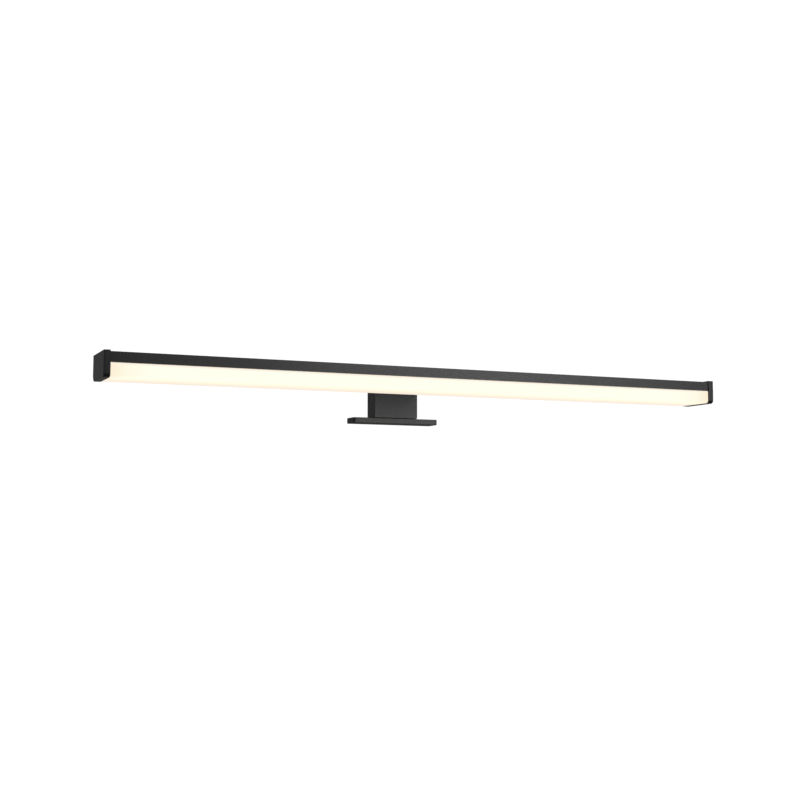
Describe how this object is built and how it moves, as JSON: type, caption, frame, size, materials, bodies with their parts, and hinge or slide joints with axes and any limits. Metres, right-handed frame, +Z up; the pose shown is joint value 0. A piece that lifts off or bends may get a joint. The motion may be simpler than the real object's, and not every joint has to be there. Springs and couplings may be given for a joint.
{
  "type": "vanity light bar",
  "caption": "Slim black LED mirror light: a long bar with an L-shaped opal diffuser, held by a hollow arm and box on a flat screw-down foot for the top of a cabinet.",
  "frame": {"origin": "centre of the foot plate's flat underside, where the light stands on its cabinet", "axes": "+X along the bar to its right end seen from the front, +Y from the bar back to the wall, +Z up, away from the surface that the foot is screwed to"},
  "size_m": [0.6, 0.1187, 0.0448],
  "materials": {
    "black_coat": "satin",
    "black_plastic": "matte",
    "black_steel": "satin",
    "opal_diffuser": "satin",
    "white_tray": "satin",
    "led_board": "satin",
    "circuit_board": "satin",
    "driver_plastic": "matte",
    "connector_plastic": "matte",
    "terminal_plastic": "satin",
    "black_rubber": "matte",
    "zinc_screws": "satin",
    "brass": "satin",
    "brown_lead": "satin",
    "blue_lead": "satin",
    "red_lead": "satin",
    "black_lead": "satin"
  },
  "bodies": {
    "root": {"housing_profile": "black_coat", "diffuser": "opal_diffuser", "end_cap_left": "black_plastic", "end_cap_right": "black_plastic", "end_seal_left": "black_rubber", "end_seal_right": "black_rubber", "gear_tray": "white_tray", "led_board_left": "led_board", "led_board_right": "led_board", "board_connector": "connector_plastic", "board_screw_1": "zinc_screws", "board_screw_2": "zinc_screws", "board_screw_3": "zinc_screws", "board_screw_4": "zinc_screws", "driver_base": "driver_plastic", "driver_board": "circuit_board", "driver_cover": "driver_plastic", "led_lead_positive": "red_lead", "led_lead_negative": "black_lead", "nut_plate_left": "zinc_screws", "nut_plate_right": "zinc_screws", "lead_bush": "black_rubber", "neck_gasket": "black_rubber", "neck_housing": "black_coat", "neck_screw_left": "zinc_screws", "neck_screw_right": "zinc_screws", "rear_cover": "black_plastic", "cover_screw_left": "black_steel", "cover_screw_right": "black_steel", "cable_grommet": "black_rubber", "terminal_block": "terminal_plastic", "terminal_insert_live": "brass", "terminal_insert_neutral": "brass", "terminal_screw_1": "zinc_screws", "terminal_screw_2": "zinc_screws", "terminal_screw_3": "zinc_screws", "terminal_screw_4": "zinc_screws", "block_screw": "zinc_screws", "live_lead": "brown_lead", "neutral_lead": "blue_lead", "foot_plate": "black_coat", "foot_screw_left": "zinc_screws", "foot_screw_right": "zinc_screws"}
  },
  "joints": []
}
